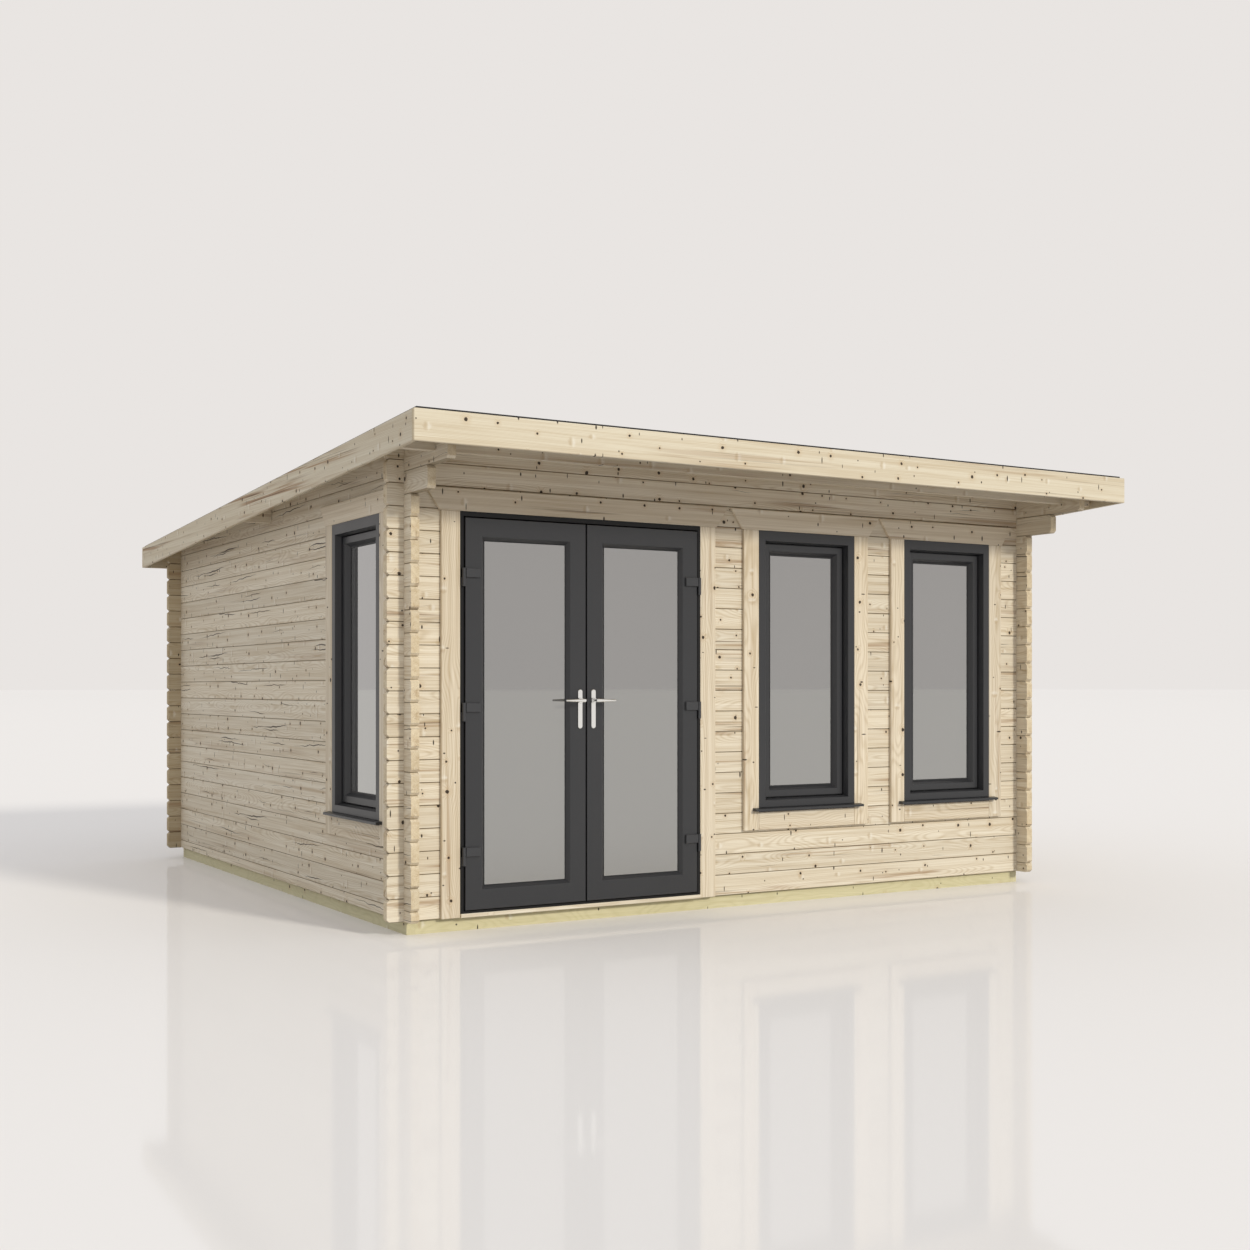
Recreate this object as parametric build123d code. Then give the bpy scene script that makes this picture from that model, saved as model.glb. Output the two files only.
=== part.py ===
from build123d import *
import os
from math import radians, tan

# Garden office pod: notched log walls on treated bearers, under a single-pitch boarded roof.
# Millimetres. +Z is up, the front faces -Y, and the origin is on the ground under the roof's centre.

# Walls and logs
wall_depth = 4190.0
left_pier_width = 296.0
door_pier_width = 398.0
window_pier_width = 383.0
right_pier_width = 297.0
log_thickness = 44.0
log_height = 114.0
log_gap = 0.4
log_edge_chamfer = 3.5
log_end_chamfer = 15.0
corner_reach = 90.0
lower_corbel_reach = 290.0
upper_corbel_reach = 520.0
notch_depth_share = 0.25
opening_courses = 18
window_foot_courses = 4
back_courses = 19
front_courses = 21
side_sill_courses = 4
side_head_courses = 17
side_full_courses = 18
cut_overrun = 50.0

# Base and floor
base_height = 70.0
base_inset = 24.0
bearer_width = 45.0
joist_count = 6
floor_thickness = 19.0
floor_edge_gap = 3.0
seat_gap = 0.3

# Roof
roof_pitch = 2.74
front_overhang = 636.0
rear_overhang = 200.0
side_overhang = 217.0
deck_thickness = 19.0
fascia_thickness = 20.0
fascia_height = 148.0
fascia_rise = 24.0
membrane_thickness = 3.0
membrane_edge_rise = 12.0
membrane_edge_width = 25.0
purlin_thickness = 44.0
purlin_height = 108.0
front_purlin_reach = 380.0

# Boards round the openings
trim_width = 102.0
trim_thickness = 20.0
header_lap = 8.0
header_slant = 78.0
apron_drop = 102.0
opening_fit = 4.0
settling_gap = 8.0
board_ease = 2.5

# Door frame and its two leaves
door_width = 1444.0
frame_depth = 70.0
frame_proud = 20.0
jamb_face = 18.0
head_face = 24.0
sill_face = 11.0
stop_reach = 32.0
sill_stop_reach = 16.0
stop_depth = 13.0
threshold_height = 20.0
threshold_reach = 30.0
leaf_gap = 7.0
sill_clearance = 5.0
meeting_gap = 8.0
meeting_taper = 6.0
leaf_proud = 8.0
leaf_thickness = 60.0
stile_width = 93.0
top_rail_width = 93.0
bottom_rail_width = 100.0
leaf_bead_width = 18.0
leaf_bead_depth = 22.0
profile_ease = 2.0

# Glass units
glass_thickness = 24.0
glass_rebate = 12.0
glass_clearance = 0.5

# Door hinges
hinge_heights = (307.0, 1034.0, 1712.0)
hinge_height = 93.0
hinge_flag_height = 48.0
hinge_flag_width = 78.0
hinge_plate_thickness = 5.0
knuckle_radius = 9.0
hinge_pin_radius = 4.0
hinge_pin_clearance = 0.3
hinge_inset = 14.0
hinge_standoff = 14.0
frame_flap_width = 15.0
hinge_ease = 1.0

# Door handles
handle_height = 1090.0
handle_setback = 36.0
handle_plate_width = 26.0
handle_plate_height = 206.0
handle_plate_thickness = 8.0
handle_plate_top = 58.0
handle_plate_ease = 2.0
lever_length = 110.0
lever_reach = 40.0
lever_width = 18.0
lever_tip_width = 10.0
lever_thickness = 12.0
lever_ease = 3.0
neck_radius = 8.0
neck_clearance = 0.5

# Windows
window_width = 686.0
side_window_offset = 276.0
window_frame_face = 46.0
window_head_face = 56.0
window_foot_face = 40.0
frame_slope_width = 9.0
frame_slope_depth = 34.0
sash_recess = 38.0
sash_depth = 46.0
sash_face = 36.0
sash_shadow_gap = 6.0
sash_fit = 0.6
sash_flange_depth = 24.0
window_bead_width = 18.0
window_bead_depth = 28.0
window_glass_thickness = 14.0
cill_height = 24.0
cill_nose_height = 17.0
cill_reach = 35.0
cill_horn = 43.0
cill_fall = 5.0

# Places worked out from the sizes above
half_log = log_thickness / 2
openings_width = door_width + 2 * window_width
piers_width = left_pier_width + door_pier_width + window_pier_width + right_pier_width
wall_width = openings_width + piers_width
notch_depth = log_height * notch_depth_share
roof_depth = front_overhang + wall_depth + rear_overhang
roof_width = wall_width + 2 * side_overhang
left_face = -wall_width / 2
right_face = wall_width / 2
front_face = front_overhang - roof_depth / 2
back_face = front_face + wall_depth
wall_foot = base_height
head_level = wall_foot + opening_courses * log_height
window_foot = wall_foot + window_foot_courses * log_height
frame_top = head_level - settling_gap
header_foot = frame_top + seat_gap
roof_rise = tan(radians(roof_pitch))


def soffit(y):
    """Height of the roof boards' underside at depth y."""
    return wall_foot + back_courses * log_height + (back_face - y) * roof_rise


def course(k):
    """Height of the bed under course k of the front and back walls."""
    return wall_foot + k * log_height


def block(low, high):
    """A box between two opposite corners."""
    size = [b - a for a, b in zip(low, high)]
    middle = [(a + b) / 2 for a, b in zip(low, high)]
    return Pos(*middle) * Box(*size)


def eased(solid):
    """A board with all its edges eased."""
    return chamfer(solid.edges(), board_ease)


def eased_front(profile):
    """A plastic profile with the edges of its front face eased."""
    return chamfer(profile.faces().sort_by(Axis.Y)[0].edges(), profile_ease)


def write(name, *solids):
    """Write one named node from solids that don't touch one another."""
    pieces = [s for shape in solids for s in shape.solids()]
    export_step(Compound(pieces), f"parts/{name}.step")


def notched_log(start, end, low, high, crossings, free_start=True, free_end=True, notch=(True, True)):
    """A log along X, centred on Y, with cross notches, chamfered free ends and eased long edges.

    crossings are the centres of the walls that it crosses; notch says which of its
    lower and upper edges are notched there.
    """
    low = low + log_gap / 2
    high = high - log_gap / 2
    depth = notch_depth
    half_notch = half_log + log_gap
    cut_start = log_end_chamfer if free_start else 0
    cut_end = log_end_chamfer if free_end else 0
    points = [(start, low + cut_start), (start + cut_start, low)] if free_start else [(start, low)]
    if notch[0]:
        for c in crossings:
            points += [(c - half_notch, low), (c - half_notch, low + depth)]
            points += [(c + half_notch, low + depth), (c + half_notch, low)]
    points += [(end - cut_end, low), (end, low + cut_end)] if free_end else [(end, low)]
    points += [(end, high - cut_end), (end - cut_end, high)] if free_end else [(end, high)]
    if notch[1]:
        for c in reversed(crossings):
            points += [(c + half_notch, high), (c + half_notch, high - depth)]
            points += [(c - half_notch, high - depth), (c - half_notch, high)]
    points += [(start + cut_start, high), (start, high - cut_start)] if free_start else [(start, high)]
    side = make_face(Polyline([(x, 0, z) for x, z in points], close=True))
    elevation = extrude(side, amount=half_log, both=True, dir=(0, 1, 0))
    c = log_edge_chamfer
    ring = [
        (start, -half_log, low + c), (start, c - half_log, low),
        (start, half_log - c, low), (start, half_log, low + c),
        (start, half_log, high - c), (start, half_log - c, high),
        (start, c - half_log, high), (start, -half_log, high - c),
    ]
    section = extrude(make_face(Polyline(ring, close=True)), amount=end - start, dir=(1, 0, 0))
    return elevation & section


def stacked(log, count):
    """Copies of a log, one on top of another."""
    return [Pos(0, 0, k * log_height) * log for k in range(count)]


def roof_cutter():
    """Everything above the roof boards' underside, for trimming the logs to the pitch."""
    near = front_face - front_overhang - cut_overrun
    far = back_face + rear_overhang + cut_overrun
    top = soffit(near) + log_height + purlin_height
    line = Polyline(
        (0, near, soffit(near) - log_gap), (0, far, soffit(far) - log_gap), (0, far, top), (0, near, top),
        close=True,
    )
    return extrude(make_face(line), amount=roof_width, both=True, dir=(1, 0, 0))


def sloped_board(x_low, x_high, y_low, y_high, under, over):
    """A board that follows the roof's pitch, from under to over above the soffit line."""
    line = Polyline(
        (x_low, y_low, soffit(y_low) + under), (x_low, y_high, soffit(y_high) + under),
        (x_low, y_high, soffit(y_high) + over), (x_low, y_low, soffit(y_low) + over),
        close=True,
    )
    return extrude(make_face(line), amount=x_high - x_low, dir=(1, 0, 0))


def edge_board(x_low, x_high, y_low, y_high):
    """A fascia board along one edge of the roof, its edges eased."""
    return eased(sloped_board(x_low, x_high, y_low, y_high, fascia_rise - fascia_height, fascia_rise))


def purlin(y_near):
    """A roof beam from side board to side board, its top bevelled to the pitch."""
    reach = roof_width / 2 - fascia_thickness - seat_gap
    top = soffit(y_near)
    low = top - purlin_height
    return block((-reach, y_near, low), (reach, y_near + purlin_thickness, top)) - above_soffit


def purlin_seat(y_near):
    """The notch that a purlin needs in the side walls."""
    reach = roof_width / 2
    low = soffit(y_near) - purlin_height
    return block(
        (-reach, y_near - log_gap, low - log_gap),
        (reach, y_near + purlin_thickness + log_gap, low + 2 * purlin_height),
    )


os.makedirs("parts", exist_ok=True)
above_soffit = roof_cutter()

# Base: side bearers run through, the front and back ones fit between, and joists carry the floor.
base_left = left_face + base_inset
base_right = right_face - base_inset
base_front = front_face + base_inset
base_back = back_face - base_inset
between_left = base_left + bearer_width + seat_gap
between_right = base_right - bearer_width - seat_gap
joist_pitch = (between_right - between_left) / (joist_count + 1)
joist_front = base_front + bearer_width + seat_gap
joist_back = base_back - bearer_width - seat_gap
bearers = [
    block((base_left, base_front, 0), (base_left + bearer_width, base_back, base_height)),
    block((base_right - bearer_width, base_front, 0), (base_right, base_back, base_height)),
    block((between_left, base_front, 0), (between_right, base_front + bearer_width, base_height)),
    block((between_left, base_back - bearer_width, 0), (between_right, base_back, base_height)),
]
joists = []
for n in range(1, joist_count + 1):
    middle = between_left + n * joist_pitch
    joists.append(
        block(
            (middle - bearer_width / 2, joist_front, 0),
            (middle + bearer_width / 2, joist_back, base_height),
        )
    )
write("base_bearers", *bearers, *joists)
floor_edge = log_thickness + floor_edge_gap
write(
    "floor_boards",
    block(
        (left_face + floor_edge, front_face + floor_edge, wall_foot),
        (right_face - floor_edge, back_face - floor_edge, wall_foot + floor_thickness),
    ),
)

# Front wall: courses start full and are cut by the doorway and the two windows.
left_crossing = left_face + half_log
right_crossing = right_face - half_log
far_left = left_face - corner_reach
far_right = right_face + corner_reach
door_left = left_face + left_pier_width
door_right = door_left + door_width
first_left = door_right + door_pier_width
first_right = first_left + window_width
second_left = first_right + window_pier_width
second_right = second_left + window_width
front_middle = front_face + half_log
front_place = Pos(0, front_middle, 0)
first_course = (course(0), course(1))
pier_course = (course(window_foot_courses), course(window_foot_courses + 1))
pier_count = opening_courses - window_foot_courses
left_log = notched_log(
    far_left, door_left - opening_fit, *first_course, [left_crossing], free_end=False
)
low_log = notched_log(
    door_right + opening_fit, far_right, *first_course, [right_crossing], free_start=False
)
door_pier_log = notched_log(
    door_right + opening_fit, first_left - opening_fit, *pier_course, [], False, False
)
window_pier_log = notched_log(
    first_right + opening_fit, second_left - opening_fit, *pier_course, [], False, False
)
right_pier_log = notched_log(
    second_right + opening_fit, far_right, *pier_course, [right_crossing], free_start=False
)
both_crossings = [left_crossing, right_crossing]
top_log = notched_log(
    far_left, far_right, course(opening_courses), course(opening_courses + 1), both_crossings
)
eaves_log = notched_log(
    far_left, far_right, course(front_courses - 1), course(front_courses), both_crossings,
    notch=(True, False),
)
write("front_wall_left_logs", *[front_place * log for log in stacked(left_log, opening_courses)])
write("front_wall_low_logs", *[front_place * log for log in stacked(low_log, window_foot_courses)])
write("front_wall_door_pier", *[front_place * log for log in stacked(door_pier_log, pier_count)])
write("front_wall_window_pier", *[front_place * log for log in stacked(window_pier_log, pier_count)])
write("front_wall_right_pier", *[front_place * log for log in stacked(right_pier_log, pier_count)])
full_top_logs = stacked(top_log, front_courses - 1 - opening_courses)
wedge_bed = course(front_courses) - log_height / 2 - log_gap
for crossing in both_crossings:
    eaves_log = eaves_log - block(
        (crossing - half_log - log_gap, -log_thickness, wedge_bed),
        (crossing + half_log + log_gap, log_thickness, course(front_courses)),
    )
write(
    "front_wall_top_logs",
    *[front_place * log for log in full_top_logs],
    front_place * eaves_log - above_soffit,
)

# Back wall: whole logs from corner to corner.
back_log = notched_log(far_left, far_right, *first_course, both_crossings)
back_place = Pos(0, back_face - half_log, 0)
write("back_wall_logs", *[back_place * log - above_soffit for log in stacked(back_log, back_courses)])

# Side walls: bedded half a course higher than the front, so a half log starts each one.
front_crossing = front_face + half_log
back_crossing = back_face - half_log
side_crossings = [front_crossing, back_crossing]
far_front = front_face - corner_reach
far_back = back_face + corner_reach
half_course = course(0) + log_height / 2
corbel_log = half_course + side_full_courses * log_height
mid_purlin_near = front_face + (wall_depth - purlin_thickness) / 2
purlin_nears = (front_face - front_purlin_reach, mid_purlin_near)
seats = [purlin_seat(y) for y in purlin_nears]


def side_log(start, end, low, high, crossings, **ends):
    """A log that runs front to back, centred on X."""
    return Rot(0, 0, 90) * notched_log(start, end, low, high, crossings, **ends)


def trimmed(log):
    """A log cut to the roof's pitch and notched for the purlins."""
    for cutter in [above_soffit, *seats]:
        log = log - cutter
    return log


foot_log = side_log(far_front, far_back, course(0), half_course, side_crossings, notch=(False, True))
whole_log = side_log(far_front, far_back, half_course, half_course + log_height, side_crossings)
lower_corbel = side_log(
    front_face - lower_corbel_reach, far_back, corbel_log, corbel_log + log_height, side_crossings
)
upper_corbel = side_log(
    front_face - upper_corbel_reach, back_face, corbel_log + log_height, corbel_log + 2 * log_height,
    [front_crossing],
)
eaves_wedge = side_log(
    front_face - upper_corbel_reach, back_face, corbel_log + 2 * log_height,
    corbel_log + 3 * log_height, [], notch=(False, False),
)
roof_logs = [trimmed(log) for log in (lower_corbel, upper_corbel, eaves_wedge)]
right_place = Pos(right_face - half_log, 0, 0)
left_place = Pos(left_face + half_log, 0, 0)
right_logs = [foot_log, *stacked(whole_log, side_full_courses), *roof_logs]
write("right_wall_logs", *[right_place * log for log in right_logs])

side_window_near = front_face + side_window_offset
side_window_far = side_window_near + window_width
side_opening = block(
    (-log_thickness, side_window_near - opening_fit, window_foot),
    (log_thickness, side_window_far + opening_fit, head_level),
)
whole_stack = stacked(whole_log, side_full_courses)
low_logs = [foot_log, *whole_stack[:side_sill_courses]]
low_logs[-1] = low_logs[-1] - side_opening
head_logs = [whole_stack[side_head_courses] - side_opening, *roof_logs]
write("left_wall_low_logs", *[left_place * log for log in low_logs])
write("left_wall_top_logs", *[left_place * log for log in head_logs])
window_side_count = side_head_courses - side_sill_courses
window_side_low = half_course + side_sill_courses * log_height
near_log = side_log(
    far_front, side_window_near - opening_fit, window_side_low, window_side_low + log_height,
    [front_crossing], free_end=False,
)
far_log = side_log(
    side_window_far + opening_fit, far_back, window_side_low, window_side_low + log_height,
    [back_crossing], free_start=False,
)
write("left_wall_front_pier", *[left_place * log for log in stacked(near_log, window_side_count)])
write("left_wall_rear_pier", *[left_place * log for log in stacked(far_log, window_side_count)])

# Roof: purlins, boards, edge boards and the waterproof sheet with its raised edge.
write("purlins", *[purlin(y) for y in purlin_nears])
roof_front = front_face - front_overhang
roof_back = back_face + rear_overhang
roof_left = -roof_width / 2
roof_right = roof_width / 2
deck_left = roof_left + fascia_thickness + seat_gap
deck_right = roof_right - fascia_thickness - seat_gap
deck_front = roof_front + fascia_thickness + seat_gap
deck_back = roof_back - fascia_thickness - seat_gap
edge_top = fascia_rise + membrane_edge_rise
write("roof_deck", sloped_board(deck_left, deck_right, deck_front, deck_back, 0, deck_thickness))
membrane = sloped_board(deck_left, deck_right, deck_front, deck_back, deck_thickness, edge_top)
hollow = sloped_board(
    deck_left + membrane_edge_width, deck_right - membrane_edge_width,
    deck_front + membrane_edge_width, deck_back - membrane_edge_width,
    deck_thickness + membrane_thickness, edge_top + cut_overrun,
)
write("roof_membrane", membrane - hollow)
write("front_fascia", edge_board(roof_left, roof_right, roof_front, roof_front + fascia_thickness))
write("back_fascia", edge_board(roof_left, roof_right, roof_back - fascia_thickness, roof_back))
write(
    "side_fascias",
    edge_board(roof_left, roof_left + fascia_thickness, deck_front, deck_back),
    edge_board(roof_right - fascia_thickness, roof_right, deck_front, deck_back),
)


def surround(width, foot, apron):
    """Boards round an opening, centred on X with the wall's face at Y = 0: sides, header, apron."""
    inner = width / 2 + seat_gap
    outer = inner + trim_width
    near = -trim_thickness - seat_gap
    pieces = []
    for low, high in ((-outer, -inner), (inner, outer)):
        pieces.append(block((low, near, foot), (high, -seat_gap, frame_top)))
    low_half = outer + header_lap
    high_half = low_half + header_slant
    top = header_foot + log_height
    line = Polyline(
        (-low_half, near, header_foot), (low_half, near, header_foot),
        (high_half, near, top), (-high_half, near, top), close=True,
    )
    pieces.append(extrude(make_face(line), amount=trim_thickness, dir=(0, 1, 0)))
    if apron:
        pieces.append(
            block((-inner + seat_gap, near, foot), (inner - seat_gap, -seat_gap, foot + apron))
        )
    return [eased(piece) for piece in pieces]


def opening_face(sides, y):
    """A flat rectangle across an opening at one depth: sides are its left, right, foot and head."""
    left, right, foot, head = sides
    line = Polyline((left, y, foot), (right, y, foot), (right, y, head), (left, y, head), close=True)
    return make_face(line)


def glazed_ring(low, high, face, bead_width, bead_depth, pane_thickness):
    """A sash of mitred bars round a glass unit, and the unit, with sloping beads outside.

    low and high are its corners at the outside, as (x, y, z) with the outside at low y,
    and face holds the bars' widths at left, right, bottom and top.
    """
    x0, y0, z0 = low
    x1, y1, z1 = high
    left, right, bottom, top = face
    pane_near = y0 + bead_depth
    pane_far = pane_near + pane_thickness
    outer = (x0 + left, x1 - right, z0 + bottom, z1 - top)
    inner = (
        outer[0] + bead_width, outer[1] - bead_width,
        outer[2] + bead_width, outer[3] - bead_width,
    )

    ring = block(low, high)
    ring = ring - loft([opening_face(outer, y0), opening_face(inner, pane_near)])
    ring = ring - block((inner[0], pane_near, inner[2]), (inner[1], y1, inner[3]))
    rebate = glass_rebate
    ring = ring - block(
        (inner[0] - rebate, pane_near, inner[2] - rebate),
        (inner[1] + rebate, pane_far, inner[3] + rebate),
    )
    reach = rebate - glass_clearance
    pane = block(
        (inner[0] - reach, pane_near + glass_clearance, inner[2] - reach),
        (inner[1] + reach, pane_far - glass_clearance, inner[3] + reach),
    )
    return eased_front(ring), pane


def window_parts():
    """One window centred on X with the wall's face at Y = 0: frame, sash, glass and cill."""
    half = window_width / 2
    near = -frame_proud
    far = frame_depth - frame_proud
    foot = window_foot + cill_height
    frame = block((-half, near, foot), (half, far, frame_top))
    mouth = half - window_frame_face
    mouth_low = foot + window_foot_face
    mouth_high = frame_top - window_head_face
    hole = mouth - frame_slope_width
    hole_low = mouth_low + frame_slope_width
    hole_high = mouth_high - frame_slope_width
    slope_far = near + frame_slope_depth
    slope = loft([
        opening_face((-mouth, mouth, mouth_low, mouth_high), near),
        opening_face((-hole, hole, hole_low, hole_high), slope_far),
    ])
    frame = eased_front(frame - slope - block((-hole, slope_far, hole_low), (hole, far, hole_high)))
    sash_near = near + sash_recess
    sash_far = sash_near + sash_depth
    gap = sash_shadow_gap
    low = (-hole + gap, sash_near, hole_low + gap)
    high = (hole - gap, sash_far, hole_high - gap)
    bars = [sash_face] * 4
    sash, pane = glazed_ring(
        low, high, bars, window_bead_width, window_bead_depth, window_glass_thickness
    )
    flange_near = sash_far - sash_flange_depth
    flange = block(
        (-hole + sash_fit, flange_near, hole_low + sash_fit),
        (hole - sash_fit, far, hole_high - sash_fit),
    ) - block((low[0], flange_near, low[2]), (high[0], far, high[2]))
    cill_foot = window_foot + log_gap / 2
    cill_top = foot - seat_gap
    cill = block((-half, -trim_thickness - 2 * seat_gap, cill_foot), (half, far, cill_top))
    horn = half + cill_horn
    nose_far = -trim_thickness - 2 * seat_gap
    nose_near = nose_far - cill_reach
    nose_low = cill_top - cill_nose_height
    section = Polyline(
        (-horn, nose_far, cill_top), (-horn, nose_near, cill_top - cill_fall),
        (-horn, nose_near, nose_low), (-horn, nose_far, nose_low), close=True,
    )
    nose = extrude(make_face(section), amount=2 * horn, dir=(1, 0, 0))
    return frame, sash + flange, pane, cill + nose


# Windows: two in front and one in the left wall, all alike and fixed shut.
window_names = ("first_window", "second_window", "side_window")
window_places = [Pos(left + window_width / 2, front_face, 0) for left in (first_left, second_left)]
side_window_middle = (side_window_near + side_window_far) / 2
window_places.append(Pos(left_face, side_window_middle, 0) * Rot(0, 0, -90))
frame, sash, pane, cill = window_parts()
window_boards = surround(window_width, window_foot - apron_drop, apron_drop - seat_gap)
for name, place in zip(window_names, window_places):
    write(f"{name}_frame", place * frame)
    write(f"{name}_sash", place * sash)
    write(f"{name}_trim", *[place * board for board in window_boards])
write("window_glass", *[place * pane for place in window_places])
write("window_cills", *[place * cill for place in window_places])

# Door frame: two jambs, a head and a low sill with stops behind the leaves, on a timber threshold.
frame_near = front_face - frame_proud
frame_far = frame_near + frame_depth
stop_near = frame_far - stop_depth
sill_foot = wall_foot + threshold_height
sill_top = sill_foot + sill_face
sill_stop = sill_top + sill_stop_reach
head_low = frame_top - head_face
head_stop = head_low - stop_reach
rail_left = door_left + jamb_face + seat_gap
rail_right = door_right - jamb_face - seat_gap


def jamb(edge, inward):
    """An upright of the door frame: inward is 1 at the left and -1 at the right."""
    face = edge + inward * jamb_face
    low, high = sorted((edge, face))
    bar = block((low, frame_near, sill_foot), (high, frame_far, frame_top))
    low, high = sorted((face, face + inward * stop_reach))
    return bar + block((low, stop_near, sill_stop + seat_gap), (high, frame_far, head_stop - seat_gap))


def rail(edge, face, stop):
    """A head or sill between the jambs: edge is its outer level, and its stop stands past its face."""
    low, high = sorted((edge, face))
    bar = block((rail_left, frame_near, low), (rail_right, frame_far, high))
    low, high = sorted((face, stop))
    return bar + block((rail_left, stop_near, low), (rail_right, frame_far, high))


head = rail(frame_top, head_low, head_stop)
sill = rail(sill_foot, sill_top, sill_stop)
write("door_frame", jamb(door_left, 1), jamb(door_right, -1), head, sill)
write(
    "door_threshold",
    eased(
        block(
            (door_left, front_face - threshold_reach, wall_foot),
            (door_right, front_face + log_thickness, sill_foot - seat_gap),
        )
    ),
)
door_place = Pos((door_left + door_right) / 2, front_face, 0)
write("door_trim", *[door_place * board for board in surround(door_width, wall_foot, 0)])

# Door leaves: glazed sashes that meet in the middle, drawn on the left and mirrored for the right.
door_middle = (door_left + door_right) / 2
leaf_near = frame_near - leaf_proud
leaf_far = leaf_near + leaf_thickness
leaf_left = door_left + jamb_face + leaf_gap
leaf_right = door_middle - meeting_gap / 2
leaf_low = sill_top + sill_clearance
leaf_high = head_low - leaf_gap
leaf_bars = (stile_width, stile_width, bottom_rail_width, top_rail_width)
leaf, leaf_glass = glazed_ring(
    (leaf_left, leaf_near, leaf_low), (leaf_right, leaf_far, leaf_high),
    leaf_bars, leaf_bead_width, leaf_bead_depth, glass_thickness,
)
taper_line = Polyline(
    (leaf_right, leaf_near, leaf_low), (leaf_right, leaf_far, leaf_low),
    (leaf_right - meeting_taper, leaf_far, leaf_low), close=True,
)
leaf = leaf - extrude(make_face(taper_line), amount=leaf_high - leaf_low, dir=(0, 0, 1))
handle_x = leaf_right - handle_setback
handle_z = wall_foot + handle_height


def round_bar(radius, near, far):
    """A cylinder along Y on the handle's axis."""
    turned = Pos(handle_x, (near + far) / 2, handle_z) * Rot(90, 0, 0)
    return turned * Cylinder(radius, far - near)


neck_hole = round_bar(neck_radius + neck_clearance, leaf_near - cut_overrun, leaf_far + cut_overrun)
leaf = leaf - neck_hole

# Hinges: flags and upper knuckles on the leaf, pins with lower knuckles on the frame.
hinge_x = door_left + hinge_inset
hinge_y = frame_near - hinge_standoff
flags = []
pins = []
for level in hinge_heights:
    foot = wall_foot + level - hinge_height / 2
    split = foot + hinge_height - hinge_flag_height
    barrel = Pos(hinge_x, hinge_y, (split + foot + hinge_height) / 2) * Cylinder(
        knuckle_radius, hinge_flag_height
    )
    plate = block(
        (hinge_x, leaf_near - hinge_plate_thickness, split),
        (leaf_left + hinge_flag_width, leaf_near, foot + hinge_height),
    )
    plate = chamfer(plate.faces().sort_by(Axis.Y)[0].edges(), hinge_ease)
    bore = Pos(hinge_x, hinge_y, split) * Cylinder(
        hinge_pin_radius + hinge_pin_clearance, hinge_flag_height
    )
    flags.append(barrel + plate - bore)
    low_barrel_height = split - seat_gap - foot
    low_barrel = Pos(hinge_x, hinge_y, foot + low_barrel_height / 2) * Cylinder(
        knuckle_radius, low_barrel_height
    )
    pin_height = hinge_flag_height / 2 - 2 * seat_gap
    pin = Pos(hinge_x, hinge_y, split - seat_gap + pin_height / 2) * Cylinder(hinge_pin_radius, pin_height)
    flap = block(
        (door_left + seat_gap, frame_near - hinge_plate_thickness, foot),
        (door_left + frame_flap_width, frame_near, split - seat_gap),
    )
    web = block(
        (hinge_x - hinge_pin_radius, hinge_y, foot),
        (hinge_x + hinge_pin_radius, frame_near, split - seat_gap),
    )
    pins.append(low_barrel + pin + flap + web)

# Handles: a plate on each side of the leaf and one lever pair on a neck that runs through it.
plate_middle = handle_z + handle_plate_top - handle_plate_height / 2


def handle_plate(near, far, outward):
    """A plate with round ends, eased on the face that outward picks and bored for the lever's neck."""
    slot = SlotOverall(handle_plate_height, handle_plate_width, rotation=90)
    plate = extrude(slot, amount=far - near)
    plate = chamfer(plate.faces().sort_by(Axis.Z)[outward].edges(), handle_plate_ease)
    return Pos(handle_x, far, plate_middle) * Rot(90, 0, 0) * plate - neck_hole


def lever(near, far):
    """A grip that points at the hinges and tapers to a round tip."""
    root = Circle(lever_width / 2)
    tip = Pos(lever_tip_width / 2 - lever_length, 0) * Circle(lever_tip_width / 2)
    outline = make_hull([*root.edges(), *tip.edges()])
    grip = extrude(outline, amount=far - near)
    grip = chamfer(grip.faces().filter_by(Axis.Z).edges(), lever_ease)
    return Pos(handle_x, far, handle_z) * Rot(90, 0, 0) * grip


out_plate_near = leaf_near - handle_plate_thickness
in_plate_far = leaf_far + handle_plate_thickness
plates = [handle_plate(out_plate_near, leaf_near, -1), handle_plate(leaf_far, in_plate_far, 0)]
out_grip_far = out_plate_near - lever_reach
in_grip_near = in_plate_far + lever_reach
lever_pair = (
    round_bar(neck_radius, out_grip_far, in_grip_near)
    + lever(out_grip_far - lever_thickness, out_grip_far)
    + lever(in_grip_near, in_grip_near + lever_thickness)
)

across = Plane((door_middle, 0, 0), x_dir=(0, 1, 0), z_dir=(1, 0, 0))
for hand, turn in (("left", lambda s: s), ("right", lambda s: mirror(s, about=across))):
    write(f"{hand}_door_sash", turn(leaf))
    write(f"{hand}_door_glass", turn(leaf_glass))
    write(f"{hand}_door_hinges", *[turn(flag) for flag in flags])
    write(f"{hand}_door_plates", *[turn(p) for p in plates])
    write(f"{hand}_door_lever", turn(lever_pair))
write("frame_hinges", *pins, *[mirror(p, about=across) for p in pins])
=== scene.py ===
from collections import namedtuple
from math import pi, radians

import bmesh
import bpy
from mathutils import Matrix, Vector


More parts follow.
